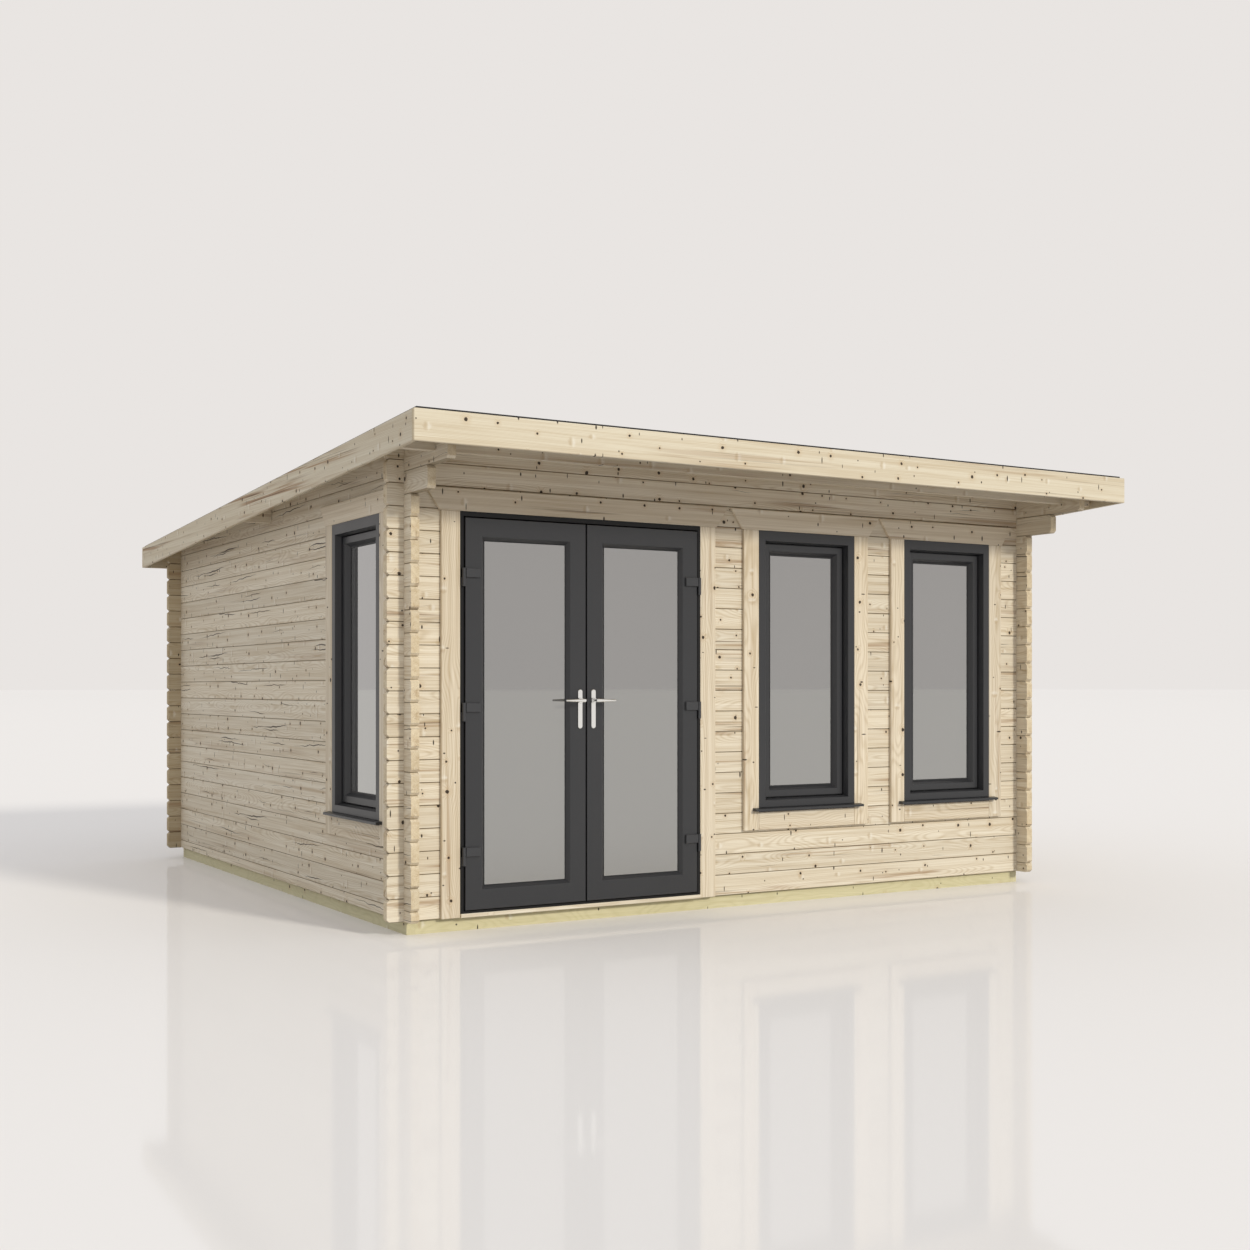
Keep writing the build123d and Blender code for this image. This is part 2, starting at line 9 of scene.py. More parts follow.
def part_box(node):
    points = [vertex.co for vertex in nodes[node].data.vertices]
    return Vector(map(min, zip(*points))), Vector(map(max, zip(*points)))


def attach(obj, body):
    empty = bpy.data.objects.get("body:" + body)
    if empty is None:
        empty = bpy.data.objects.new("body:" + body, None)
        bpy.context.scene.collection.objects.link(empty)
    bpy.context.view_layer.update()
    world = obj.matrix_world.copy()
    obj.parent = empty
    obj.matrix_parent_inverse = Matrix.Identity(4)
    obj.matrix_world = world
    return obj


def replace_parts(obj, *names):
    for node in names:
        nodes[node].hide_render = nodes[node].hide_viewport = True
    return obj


# Garden office pod in the order it is put together: base, floor, log walls, roof, trim, windows, doors.
# Metres, in the part's own frame: +Z is up and the front faces -Y.

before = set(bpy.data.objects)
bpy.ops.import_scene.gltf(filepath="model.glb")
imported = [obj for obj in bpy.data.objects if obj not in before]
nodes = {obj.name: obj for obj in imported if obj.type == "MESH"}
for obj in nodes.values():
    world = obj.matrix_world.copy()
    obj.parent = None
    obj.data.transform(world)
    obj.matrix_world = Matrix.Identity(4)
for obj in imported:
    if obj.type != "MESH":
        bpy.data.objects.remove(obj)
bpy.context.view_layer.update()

# Base: pressure treated softwood bearers lie flat on the ground and carry the walls and floor.
# The timber is rough sawn and greenish yellow from the treatment, with a few brown knots.
treated_pale = (0.668, 0.605, 0.380, 1.0)
treated_ring = (0.555, 0.500, 0.285, 1.0)
bearer_width = 0.045
bearer_slack = 0.0002
side_bearer_seed = 2.0


def put(tree, kind, sockets=None, **settings):
    """Add a node: sockets gives a link or a value for each named input, settings its own properties."""
    made = tree.nodes.new(kind if kind.startswith("NodeGroup") else "ShaderNode" + kind)
    for name, value in settings.items():
        setattr(made, name, value)
    for name, value in (sockets or {}).items():
        if isinstance(value, bpy.types.NodeSocket):
            tree.links.new(value, made.inputs[name])
        else:
            made.inputs[name].default_value = value
    return made


def calc(tree, operation, *terms):
    """One step of arithmetic on links or numbers."""
    return put(tree, "Math", dict(enumerate(terms)), operation=operation).outputs[0]


def vector_calc(tree, operation, *terms):
    """One step of arithmetic on coordinates."""
    return put(tree, "VectorMath", dict(enumerate(terms)), operation=operation).outputs[0]


def length(tree, vector):
    """How far a vector reaches."""
    return put(tree, "VectorMath", {0: vector}, operation="LENGTH").outputs["Value"]


def join(tree, x, y, z):
    """Coordinates from three links or numbers."""
    return put(tree, "CombineXYZ", {"X": x, "Y": y, "Z": z}).outputs[0]


def split(tree, vector):
    """The three coordinates of a vector."""
    return put(tree, "SeparateXYZ", {"Vector": vector}).outputs


def channels(tree, color):
    """The three channels of a random colour, as three random values."""
    return put(tree, "SeparateColor", {"Color": color}).outputs


def ease(tree, value, edges):
    """0 at the first edge and 1 at the second, with a smooth step between; the first may be the larger."""
    ends = {"Value": value, "From Min": edges[0], "From Max": edges[1]}
    return put(tree, "MapRange", ends, interpolation_type="SMOOTHSTEP").outputs["Result"]


def mix(tree, share, first, second, blend_type="MIX"):
    """A colour between two others: 6 and 7 are the colour inputs of a Mix node, and 2 its colour output."""
    made = put(tree, "Mix", {0: share, 6: first, 7: second}, data_type="RGBA", blend_type=blend_type)
    return made.outputs[2]


def choose(tree, share, first, second):
    """A number between two others: 2 and 3 are the number inputs of a Mix node."""
    return put(tree, "Mix", {0: share, 2: first, 3: second}).outputs[0]


def noise(tree, place, rate, detail=2.0, distortion=0.0, output="Fac"):
    """A noise texture with so many repeats a metre along each axis."""
    place = vector_calc(tree, "MULTIPLY", place, rate)
    look = {"Vector": place, "Scale": 1.0, "Detail": detail, "Distortion": distortion}
    return put(tree, "TexNoise", look).outputs[output]


def drift(tree, along, rate):
    """A value that wanders about 0.5 along the board, with so many swings a metre."""
    look = {"W": calc(tree, "MULTIPLY", along, rate), "Scale": 1.0, "Detail": 2.0}
    return put(tree, "TexNoise", look, noise_dimensions="1D").outputs["Fac"]


# A board's own coordinates, together and one by one, with the random values that tell it from others.
Board = namedtuple("Board", "place along across depth shift chance")


def scatter(tree, board, cell, start):
    """Random spots, one in each cell of so many metres: the way to the spot and three random values."""
    across = calc(tree, "ADD", board.across, calc(tree, "ADD", board.shift, start))
    column = calc(tree, "DIVIDE", board.along, cell[0])
    place = join(tree, column, calc(tree, "DIVIDE", across, cell[1]), 0.0)
    look = {"Vector": place, "Scale": 1.0, "Randomness": 0.9}
    spots = put(tree, "TexVoronoi", look, voronoi_dimensions="2D").outputs
    away = vector_calc(tree, "SUBTRACT", place, spots["Position"])
    return vector_calc(tree, "MULTIPLY", away, (*cell, 0.0)), channels(tree, spots["Color"])


# Round knots are dark spots with a warm halo, and edges are in their own radius.
knot_cell = (0.24, 0.09)
knot_least = 0.0048
knot_spread = 0.0060
knot_edges = (1.15, 0.85)
halo_edges = (4.5, 0.8)


def round_knots(tree, board, amount, ragged):
    """The dark spots and their halos, in a share of the cells."""
    away, spot = scatter(tree, board, knot_cell, 0.0)
    radius = calc(tree, "MULTIPLY_ADD", calc(tree, "POWER", spot[0], 2.0), knot_spread, knot_least)
    reach = calc(tree, "ADD", calc(tree, "DIVIDE", length(tree, away), radius), ragged)
    there = calc(tree, "LESS_THAN", spot[1], amount)
    dark = calc(tree, "MULTIPLY", ease(tree, reach, knot_edges), there)
    return dark, calc(tree, "MULTIPLY", ease(tree, reach, halo_edges), there)


# Growth rings are circles round a pith that wanders along the tree, so flat faces show long arches.
ring_width = 0.0042
pith_range = 0.15
pith_least_depth = 0.02
pith_depth_spread = 0.06
wander_rate = (1.1, 4.0, 4.0)
wander_across = 0.03
wander_down = 0.1
halo_swell = 0.008


def growth_rings(tree, board, halo):
    """The rings, 1 where they are darkest, bent round the halos of the knots."""
    wander = channels(tree, noise(tree, board.place, wander_rate, output="Color"))
    pith_across = calc(tree, "MULTIPLY_ADD", board.chance[1], pith_range, -pith_range / 2)
    beside = calc(tree, "SUBTRACT", board.across, pith_across)
    beside = calc(tree, "ADD", beside, calc(tree, "MULTIPLY", wander[0], wander_across))
    pith_depth = calc(tree, "MULTIPLY_ADD", board.chance[2], pith_depth_spread, pith_least_depth)
    below = calc(tree, "ADD", board.depth, pith_depth)
    below = calc(tree, "ADD", below, calc(tree, "MULTIPLY", wander[1], wander_down))
    squares = calc(tree, "ADD", calc(tree, "POWER", beside, 2.0), calc(tree, "POWER", below, 2.0))
    radius = calc(tree, "MULTIPLY_ADD", halo, halo_swell, calc(tree, "SQRT", squares))
    wave = calc(tree, "SINE", calc(tree, "MULTIPLY", radius, 2 * pi / ring_width))
    return calc(tree, "POWER", calc(tree, "MULTIPLY_ADD", wave, 0.5, 0.5), 2.0)


# Soft knots just under the surface: a brown smear on one side is painted shade, and a pale patch on the
# other is a painted highlight, as on a raised knot lit from one side.
soft_cell = (0.33, 0.10)
soft_start = 5.0
soft_half_width = 0.021
soft_least_height = 0.012
soft_height_spread = 0.016
soft_share = 0.8
soft_edges = (1.3, 0.5)
soft_strength = 0.45
shaded_side_edges = (0.1, -0.3)
shaded_side_brown = (0.43, 0.31, 0.175, 1.0)
highlight_edges = (0.0, 0.35)
highlight_pale = (0.80, 0.755, 0.655, 1.0)


def soft_knots(tree, board, color, amount, ragged):
    """Lay each soft knot's painted shade and painted highlight over a colour."""
    away, spot = scatter(tree, board, soft_cell, soft_start)
    half_height = calc(tree, "MULTIPLY_ADD", spot[0], soft_height_spread, soft_least_height)
    away = vector_calc(tree, "DIVIDE", away, join(tree, soft_half_width, half_height, 1.0))
    side = split(tree, away)[0]
    there = calc(tree, "LESS_THAN", spot[1], calc(tree, "MULTIPLY", amount, soft_share))
    reach = calc(tree, "ADD", length(tree, away), ragged)
    whole = calc(tree, "MULTIPLY", ease(tree, reach, soft_edges), there)
    # The brown side is painted shade and the pale side a painted highlight.
    for edges, tone in ((shaded_side_edges, shaded_side_brown), (highlight_edges, highlight_pale)):
        half = calc(tree, "MULTIPLY", whole, ease(tree, side, edges))
        color = mix(tree, calc(tree, "MULTIPLY", half, soft_strength), color, tone)
    return color


# Brown heartwood shows in long streaks, with fine dark lines of late wood in them.
gate_rate = (0.7, 14.0, 14.0)
gate_edges = (0.55, 0.66)
streak_rate = (0.8, 60.0, 60.0)
streak_edges = (0.50, 0.60)
streak_brown = (0.34, 0.21, 0.110, 1.0)
late_rate = (1.0, 130.0, 130.0)
late_edges = (0.56, 0.66)
late_brown = (0.115, 0.070, 0.038, 1.0)


def heartwood(tree, board, color, amount):
    """Lay the streaks and lines over a colour, only where the gate is open."""
    gate = ease(tree, noise(tree, board.place, gate_rate), gate_edges)
    streak = ease(tree, noise(tree, board.place, streak_rate, detail=4.0, distortion=0.3), streak_edges)
    late = ease(tree, noise(tree, board.place, late_rate, detail=3.0, distortion=0.5), late_edges)
    for lines, tone in ((streak, streak_brown), (late, late_brown)):
        shown = calc(tree, "MULTIPLY", calc(tree, "MULTIPLY", lines, gate), amount)
        color = mix(tree, shown, color, tone)
    return color


# Spike knots, sawn along their length, show as short dark ticks across the grain.
spike_cell = (0.21, 0.075)
spike_start = 3.0
spike_least_width = 0.0022
spike_width_spread = 0.0030
spike_least_height = 0.004
spike_height_spread = 0.015
spike_edges = (1.25, 0.6)


def spike_knots(tree, board, amount):
    """The ticks, in a share of the cells."""
    away, spot = scatter(tree, board, spike_cell, spike_start)
    half_width = calc(tree, "MULTIPLY_ADD", spot[0], spike_width_spread, spike_least_width)
    half_height = calc(tree, "POWER", spot[1], 2.0)
    half_height = calc(tree, "MULTIPLY_ADD", half_height, spike_height_spread, spike_least_height)
    away = vector_calc(tree, "DIVIDE", away, join(tree, half_width, half_height, 1.0))
    there = calc(tree, "LESS_THAN", spot[2], amount)
    return calc(tree, "MULTIPLY", ease(tree, length(tree, away), spike_edges), there)


# Cracks from drying are thin wavy lines along the grain, which open and close along the board.
crack_starts = (0.0, 70.0)
crack_level_rate = 0.20
crack_level_range = 0.28
crack_wave_rate = 7.0
crack_wave_range = 0.020
crack_opening_start = 31.0
crack_opening_rate = 1.3
crack_opening = 0.019
crack_rarity = 0.72
crack_gain = 0.17
crack_edges = (0.0, 0.0009)
crack_strength = 0.93


def drying_cracks(tree, board, dark, amount):
    """Add two lines of cracks to what is dark already."""
    rarity = calc(tree, "MULTIPLY_ADD", amount, -crack_gain, crack_rarity)
    for start in crack_starts:
        run = calc(tree, "ADD", board.along, start)
        level = drift(tree, run, crack_level_rate)
        level = calc(tree, "MULTIPLY_ADD", level, crack_level_range, -crack_level_range / 2)
        level = calc(tree, "SUBTRACT", level, crack_wave_range / 2)
        level = calc(tree, "MULTIPLY_ADD", drift(tree, run, crack_wave_rate), crack_wave_range, level)
        off = calc(tree, "ABSOLUTE", calc(tree, "SUBTRACT", board.across, level))
        opening = drift(tree, calc(tree, "ADD", run, crack_opening_start), crack_opening_rate)
        opening = calc(tree, "MULTIPLY", calc(tree, "SUBTRACT", opening, rarity), crack_opening)
        line = ease(tree, calc(tree, "SUBTRACT", opening, off), crack_edges)
        dark = calc(tree, "MAXIMUM", dark, calc(tree, "MULTIPLY", line, crack_strength))
    return dark


def group_sockets(tree, inputs, outputs):
    """Name a group's inputs and outputs, each with its kind, and return the two end nodes."""
    for side, sockets in (("INPUT", inputs), ("OUTPUT", outputs)):
        for name, kind in sockets:
            tree.interface.new_socket(name, in_out=side, socket_type="NodeSocket" + kind)
    return put(tree, "NodeGroupInput").outputs, put(tree, "NodeGroupOutput").inputs


# The whole board: each comes from its own place in a long trunk, and has fibres, rings, a tone and marks.
trunk_length = 40.0
shift_range = 9.0
fibre_rate = (14.0, 420.0, 420.0)
ragged_rate = (90.0, 120.0, 120.0)
ragged_range = 0.9
band_rate = (0.7, 40.0, 40.0)
band_share = 1.2
fine_rate = (2.2, 170.0, 170.0)
fine_share = 1.1
tint_start = -1.03
ring_share = 0.36
board_share = 0.16
tone_least = 0.94
tone_spread = 0.12
halo_strength = 0.28
halo_brown = (0.52, 0.36, 0.19, 1.0)
mark_strength = 0.96
mark_black = (0.030, 0.019, 0.012, 1.0)
rough_least = 0.54
rough_spread = 0.18
fibre_rise = 0.5
ring_rise = 0.25


def softwood_group():
    """One softwood board from its own coordinates: its colour, roughness and height."""
    tree = bpy.data.node_groups.new("softwood board", "ShaderNodeTree")
    given, result = group_sockets(
        tree,
        (("Board", "Vector"), ("Seed", "Float"), ("Pale", "Color"), ("Ring", "Color"),
         ("Knots", "Float"), ("Streaks", "Float"), ("Cracks", "Float"), ("End", "Float")),
        (("Color", "Color"), ("Roughness", "Float"), ("Height", "Float")),
    )
    chance = put(tree, "TexWhiteNoise", {"W": given["Seed"]}, noise_dimensions="1D").outputs["Color"]
    chance = channels(tree, chance)
    along, across, depth = split(tree, given["Board"])
    along = calc(tree, "MULTIPLY_ADD", chance[0], trunk_length, along)
    shift = calc(tree, "MULTIPLY", chance[1], shift_range)
    board = Board(join(tree, along, across, depth), along, across, depth, shift, chance)
    fibre = noise(tree, board.place, fibre_rate, detail=1.0)
    ragged = noise(tree, board.place, ragged_rate)
    ragged = calc(tree, "MULTIPLY_ADD", ragged, ragged_range, -ragged_range / 2)
    knot, halo = round_knots(tree, board, given["Knots"], ragged)
    ring = growth_rings(tree, board, halo)

    band = noise(tree, board.place, band_rate, detail=4.0)
    fine = noise(tree, board.place, fine_rate, detail=3.0)
    tint = calc(tree, "MULTIPLY_ADD", fine, fine_share, tint_start)
    for pattern, share in ((band, band_share), (ring, ring_share), (chance[0], board_share)):
        tint = calc(tree, "MULTIPLY_ADD", pattern, share, tint)
    color = mix(tree, put(tree, "Clamp", {"Value": tint}).outputs[0], given["Pale"], given["Ring"])
    tone = calc(tree, "MULTIPLY_ADD", chance[2], tone_spread, tone_least)
    tone = put(tree, "CombineColor", {"Red": tone, "Green": tone, "Blue": tone}).outputs[0]
    color = mix(tree, 1.0, color, tone, "MULTIPLY")

    color = soft_knots(tree, board, color, given["Knots"], ragged)
    color = mix(tree, calc(tree, "MULTIPLY", halo, halo_strength), color, halo_brown)
    color = heartwood(tree, board, color, given["Streaks"])
    dark = calc(tree, "MAXIMUM", knot, spike_knots(tree, board, given["Knots"]))
    dark = drying_cracks(tree, board, dark, given["Cracks"])
    off_end = calc(tree, "MULTIPLY_ADD", given["End"], -mark_strength, mark_strength)
    dark = calc(tree, "MULTIPLY", dark, off_end)
    tree.links.new(mix(tree, dark, color, mark_black), result["Color"])
    tree.links.new(calc(tree, "MULTIPLY_ADD", fibre, rough_spread, rough_least), result["Roughness"])
    rise = calc(tree, "MULTIPLY_ADD", fibre, fibre_rise, calc(tree, "MULTIPLY", ring, ring_rise))
    tree.links.new(calc(tree, "SUBTRACT", rise, dark), result["Height"])
    return tree


softwood = softwood_group()


def bare_tree(owner):
    """The emptied node tree of a material or world."""
    owner.use_nodes = True
    owner.node_tree.nodes.clear()
    return owner.node_tree


def surface(name, shader=None):
    """A material with a Principled shader alone: returns the material, its tree and the shader."""
    material = bpy.data.materials.new(name)
    tree = bare_tree(material)
    bsdf = put(tree, "BsdfPrincipled", shader)
    tree.links.new(bsdf.outputs[0], put(tree, "OutputMaterial").inputs["Surface"])
    return material, tree, bsdf


def relief(tree, bsdf, height, depth):
    """Tilt a shader's normal by a height pattern of that depth in metres."""
    bump = put(tree, "Bump", {"Height": height, "Distance": depth, "Strength": 1.0})
    tree.links.new(bump.outputs[0], bsdf.inputs["Normal"])


def dress(material, *names):
    """Give CAD nodes a material."""
    for name in names:
        if not nodes[name].material_slots:
            nodes[name].data.materials.append(material)
        nodes[name].material_slots[0].material = material


def own_place(tree):
    """A piece's own coordinates, which are the part's."""
    return put(tree, "TexCoord").outputs["Object"]


def axes(tree):
    """Those coordinates one by one."""
    return split(tree, own_place(tree))


# End grain is a little browner, a joint between boards is a dark line that is partly the joint itself and
# partly painted shade in its V groove, and planed wood has little shine.
end_edges = (0.55, 0.85)
end_tint = (0.93, 0.88, 0.78, 1.0)
joint_and_groove_shade_tint = (0.36, 0.32, 0.26, 1.0)
timber_shine = 0.25
grain_depth = 0.0007


def grain_end(tree, axis):
    """1 on faces cut across the grain, for grain along one axis."""
    normal = split(tree, put(tree, "TexCoord").outputs["Normal"])
    return ease(tree, calc(tree, "ABSOLUTE", normal[axis]), end_edges)


def stain_and_shade(tree, share, color, tint):
    """A colour times a tint, as far as share goes."""
    return mix(tree, share, color, mix(tree, 1.0, color, tint, "MULTIPLY"))


def timber(name, board, seed, pale, ring, knots, streaks, cracks):
    """A softwood material: board gives a board's coordinates, its number, its end grain and its joint."""
    material, tree, bsdf = surface(name, {"Specular IOR Level": timber_shine})
    place, number, end, joint = board(tree)
    made = put(
        tree, "Group",
        {"Board": place, "Seed": calc(tree, "ADD", number, seed), "Pale": pale, "Ring": ring,
         "Knots": knots, "Streaks": streaks, "Cracks": cracks, "End": end},
        node_tree=softwood,
    ).outputs
    color = stain_and_shade(tree, end, made["Color"], end_tint)
    # The darkening at joints is partly painted shade in the V groove.
    if joint is not None:
        color = stain_and_shade(tree, joint, color, joint_and_groove_shade_tint)
    tree.links.new(color, bsdf.inputs["Base Color"])
    tree.links.new(made["Roughness"], bsdf.inputs["Roughness"])
    relief(tree, bsdf, made["Height"], grain_depth)
    return material


def bearer_board(tree):
    """Bearers run both ways: the grain follows the side of the base that they are on."""
    x, y, z = axes(tree)
    inner_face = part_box("base_bearers")[1].x - bearer_width - bearer_slack
    side = calc(tree, "GREATER_THAN", calc(tree, "ABSOLUTE", x), inner_face)
    along = choose(tree, side, x, y)
    depth = choose(tree, side, y, x)
    number = calc(tree, "MULTIPLY_ADD", side, side_bearer_seed, calc(tree, "SIGN", depth))
    return join(tree, along, z, depth), number, 0.0, None


bearer_timber = timber(
    "treated bearers", bearer_board, seed=0.37, pale=treated_pale, ring=treated_ring,
    knots=0.45, streaks=0.10, cracks=0.15,
)
dress(bearer_timber, "base_bearers")

# Floor: planed tongue and groove boards nailed to the joists, running across the room.
# Each board has eased edges, so a fine groove shows between neighbours.
floor_pale = (0.70, 0.61, 0.45, 1.0)
floor_ring = (0.48, 0.36, 0.21, 1.0)
floor_board_count = 36
board_gap = 0.0006
board_ease = 0.0025
joint_edges = (0.0035, 0.0010)
floor_low, floor_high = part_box("floor_boards")
floor_board_width = (floor_high.y - floor_low.y) / floor_board_count


def row_group():
    """Boards side by side: the place across a board, the board's number, and 1 at its joints."""
    tree = bpy.data.node_groups.new("board row", "ShaderNodeTree")
    given, result = group_sockets(
        tree, (("Place", "Float"), ("Start", "Float"), ("Width", "Float")),
        (("Across", "Float"), ("Number", "Float"), ("Joint", "Float")),
    )
    rows = calc(tree, "DIVIDE", calc(tree, "SUBTRACT", given["Place"], given["Start"]), given["Width"])
    number = calc(tree, "FLOOR", rows)
    across = calc(tree, "SUBTRACT", calc(tree, "SUBTRACT", rows, number), 0.5)
    across = calc(tree, "MULTIPLY", across, given["Width"])
    half_width = calc(tree, "MULTIPLY", given["Width"], 0.5)
    to_joint = calc(tree, "SUBTRACT", half_width, calc(tree, "ABSOLUTE", across))
    tree.links.new(across, result["Across"])
    tree.links.new(number, result["Number"])
    tree.links.new(ease(tree, to_joint, joint_edges), result["Joint"])
    return tree


board_row = row_group()


def in_row(tree, place, start, width):
    """Where a place is in a row of boards."""
    return put(tree, "Group", {"Place": place, "Start": start, "Width": width}, node_tree=board_row).outputs


def add_board(mesh, low, high):
    """Add one rectangular board between two corners to a mesh."""
    place = Matrix.Translation((low + high) / 2) @ Matrix.Diagonal((*(high - low), 1.0))
    bmesh.ops.create_cube(mesh, size=1.0, matrix=place)


def soften(mesh, width, segments=1):
    """Bevel all edges."""
    bmesh.ops.bevel(
        mesh, geom=mesh.edges[:], offset=width, offset_type="OFFSET", affect="EDGES",
        segments=segments, profile=0.5, material=-1, clamp_overlap=True,
    )


def board_rows(low, high, axis, count):
    """A mesh of boards with eased edges, side by side along one axis of a box."""
    mesh = bmesh.new()
    width = (high[axis] - low[axis]) / count
    for row in range(count):
        start = low[axis] + row * width
        near = low.copy()
        near[axis] = start + board_gap / 2
        far = high.copy()
        far[axis] = start + width - board_gap / 2
        add_board(mesh, near, far)
    soften(mesh, board_ease)
    return mesh


def mesh_object(name, mesh, material):
    """Turn a mesh into an object with a material."""
    data = bpy.data.meshes.new(name)
    mesh.normal_update()
    mesh.to_mesh(data)
    mesh.free()
    data.materials.append(material)
    made = bpy.data.objects.new(name, data)
    bpy.context.scene.collection.objects.link(made)
    return made


def piece(name, mesh, material, body):
    """Turn a mesh into a piece of the object that rides on a body."""
    made = mesh_object(name, mesh, material)
    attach(made, body)
    return made


def floor_board(tree):
    """Boards along X, side by side along Y."""
    x, y, z = axes(tree)
    row = in_row(tree, y, floor_low.y, floor_board_width)
    return join(tree, x, row["Across"], z), row["Number"], 0.0, None


floor_mesh = board_rows(floor_low, floor_high, 1, floor_board_count)
floor_timber = timber(
    "floor boards", floor_board, seed=5.1, pale=floor_pale, ring=floor_ring,
    knots=0.5, streaks=0.25, cracks=0.1,
)
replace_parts(piece("floor_boarding", floor_mesh, floor_timber, "cabin"), "floor_boards")

# Log walls: planed knotty spruce, each course bedded on the one below with a fine V joint between.
# Front and back courses start on the base, side courses half a log higher, and the ends interlock.
log_height = 0.114
spruce_pale = (0.745, 0.668, 0.523, 1.0)
spruce_ring = (0.480, 0.370, 0.225, 1.0)
# The back wall's logs take a darker, browner pale and ring: painted shade for the shaded log ends that
# stand out past the left wall.
back_pale_painted_shade = (0.550, 0.462, 0.310, 1.0)
back_ring_painted_shade = (0.375, 0.268, 0.143, 1.0)
side_joint_and_groove_shade_strength = 0.80
wall_seed = 40.3
wall_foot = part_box("back_wall_logs")[0].z
across_walls = (
    "front_wall_left_logs", "front_wall_low_logs", "front_wall_door_pier", "front_wall_window_pier",
    "front_wall_right_pier", "front_wall_top_logs", "back_wall_logs",
)
side_walls = (
    "right_wall_logs", "left_wall_low_logs", "left_wall_top_logs", "left_wall_front_pier",
    "left_wall_rear_pier",
)
across_wall_marks = {"knots": 0.6, "streaks": 0.6, "cracks": 0.3}
side_wall_marks = {"knots": 0.6, "streaks": 0.28, "cracks": 1.0}


def log_board(name, axis):
    """Board coordinates for a wall of logs along X (axis 0) or Y (axis 1)."""
    low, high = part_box(name)
    middle = (low + high)[1 - axis] / 2
    bed = wall_foot + axis * log_height / 2

    def place_in(tree):
        sides = axes(tree)
        row = in_row(tree, sides[2], bed, log_height)
        depth = calc(tree, "SUBTRACT", sides[1 - axis], middle)
        place = join(tree, sides[axis], row["Across"], depth)
        # The side walls get less of the joints' painted groove shade.
        joint = calc(tree, "MULTIPLY", row["Joint"], side_joint_and_groove_shade_strength if axis else 1.0)
        return place, row["Number"], grain_end(tree, axis), joint

    return place_in


for order, name in enumerate(across_walls + side_walls):
    axis = int(name in side_walls)
    # The back wall takes the darker colours, which are painted shade.
    pale, ring = (back_pale_painted_shade, back_ring_painted_shade) if name == "back_wall_logs" else (spruce_pale, spruce_ring)
    wall_timber = timber(
        name.replace("_", " "), log_board(name, axis), seed=wall_seed * (order + 1), pale=pale, ring=ring,
        **(side_wall_marks if axis else across_wall_marks),
    )
    dress(wall_timber, name)

# Purlins: two planed spruce beams on edge, let into the side walls across the pod.
# The roof boards are nailed down on them, and their ends show outside under the side overhangs.


def purlin_board(tree):
    """Beams along X, told apart by their depth in the building."""
    x, y, z = axes(tree)
    return join(tree, x, z, y), calc(tree, "SIGN", y), grain_end(tree, 0), None


purlin_timber = timber(
    "purlins", purlin_board, seed=7.7, pale=spruce_pale, ring=spruce_ring,
    knots=0.6, streaks=0.4, cracks=0.3,
)
dress(purlin_timber, "purlins")

# Roof boards: tongue and groove spruce laid down the slope over the purlins, with V joints underneath.
# They show from below at the overhangs and as the ceiling of the room.
roof_board_count = 40
deck_thickness = 0.019
roof_low, roof_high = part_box("roof_deck")
roof_board_width = (roof_high.x - roof_low.x) / roof_board_count
roof_fall = roof_high.z - roof_low.z - deck_thickness
roof_slope = -roof_fall / (roof_high.y - roof_low.y)


def ceiling_board(tree):
    """Boards along Y, side by side along X."""
    x, y, z = axes(tree)
    row = in_row(tree, x, roof_low.x, roof_board_width)
    return join(tree, y, row["Across"], z), row["Number"], grain_end(tree, 1), None


# The boards are laid level at the low edge, and then sheared up to the slope.
level_high = Vector((roof_high.x, roof_high.y, roof_low.z + deck_thickness))
roof_mesh = board_rows(roof_low, level_high, 0, roof_board_count)
pitch = Matrix.Identity(4)
pitch[2][1] = roof_slope
pitch[2][3] = -roof_slope * roof_high.y
bmesh.ops.transform(roof_mesh, matrix=pitch, verts=roof_mesh.verts)
roof_timber = timber(
    "roof boards", ceiling_board, seed=9.4, pale=spruce_pale, ring=spruce_ring,
    knots=0.55, streaks=0.3, cracks=0.1,
)
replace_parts(piece("roof_boarding", roof_mesh, roof_timber, "cabin"), "roof_deck")

# Roof sheet: one black waterproof sheet glued to the boards and turned over an upstand all round.
# Its surface is finely pitted, with soft folds down the slope from the roll it came on.
sheet_black = (0.006, 0.006, 0.0065, 1.0)
sheet_grey = (0.032, 0.032, 0.033, 1.0)
grit_rate = (700.0, 700.0, 700.0)
grit_share = 0.5
cloud_rate = (1.7, 1.7, 1.7)
cloud_share = 1.7
sheet_tone_start = -0.8
sheet_rough_least = 0.35
sheet_rough_spread = 0.5
fold_rate = (5.0, 0.7, 0.7)
fold_share = 6.0
sheet_depth = 0.0008
sheet, tree, bsdf = surface("roof sheet")
place = own_place(tree)
grit = noise(tree, place, grit_rate)
cloud = noise(tree, place, cloud_rate, detail=3.0)
fold = noise(tree, place, fold_rate)
tone = calc(tree, "MULTIPLY_ADD", cloud, cloud_share, sheet_tone_start)
tone = calc(tree, "MULTIPLY_ADD", grit, grit_share, tone)
rough = calc(tree, "MULTIPLY_ADD", cloud, sheet_rough_spread, sheet_rough_least)
tree.links.new(rough, bsdf.inputs["Roughness"])
tree.links.new(mix(tree, tone, sheet_black, sheet_grey), bsdf.inputs["Base Color"])
relief(tree, bsdf, calc(tree, "MULTIPLY_ADD", fold, fold_share, grit), sheet_depth)
dress(sheet, "roof_membrane")

# Fascias: planed spruce boards on edge, nailed round the roof to cover the ends of its boards.
# The side boards run between the front and back ones, and all stop just under the sheet's turned edge.
fascia_pale = (0.685, 0.612, 0.462, 1.0)


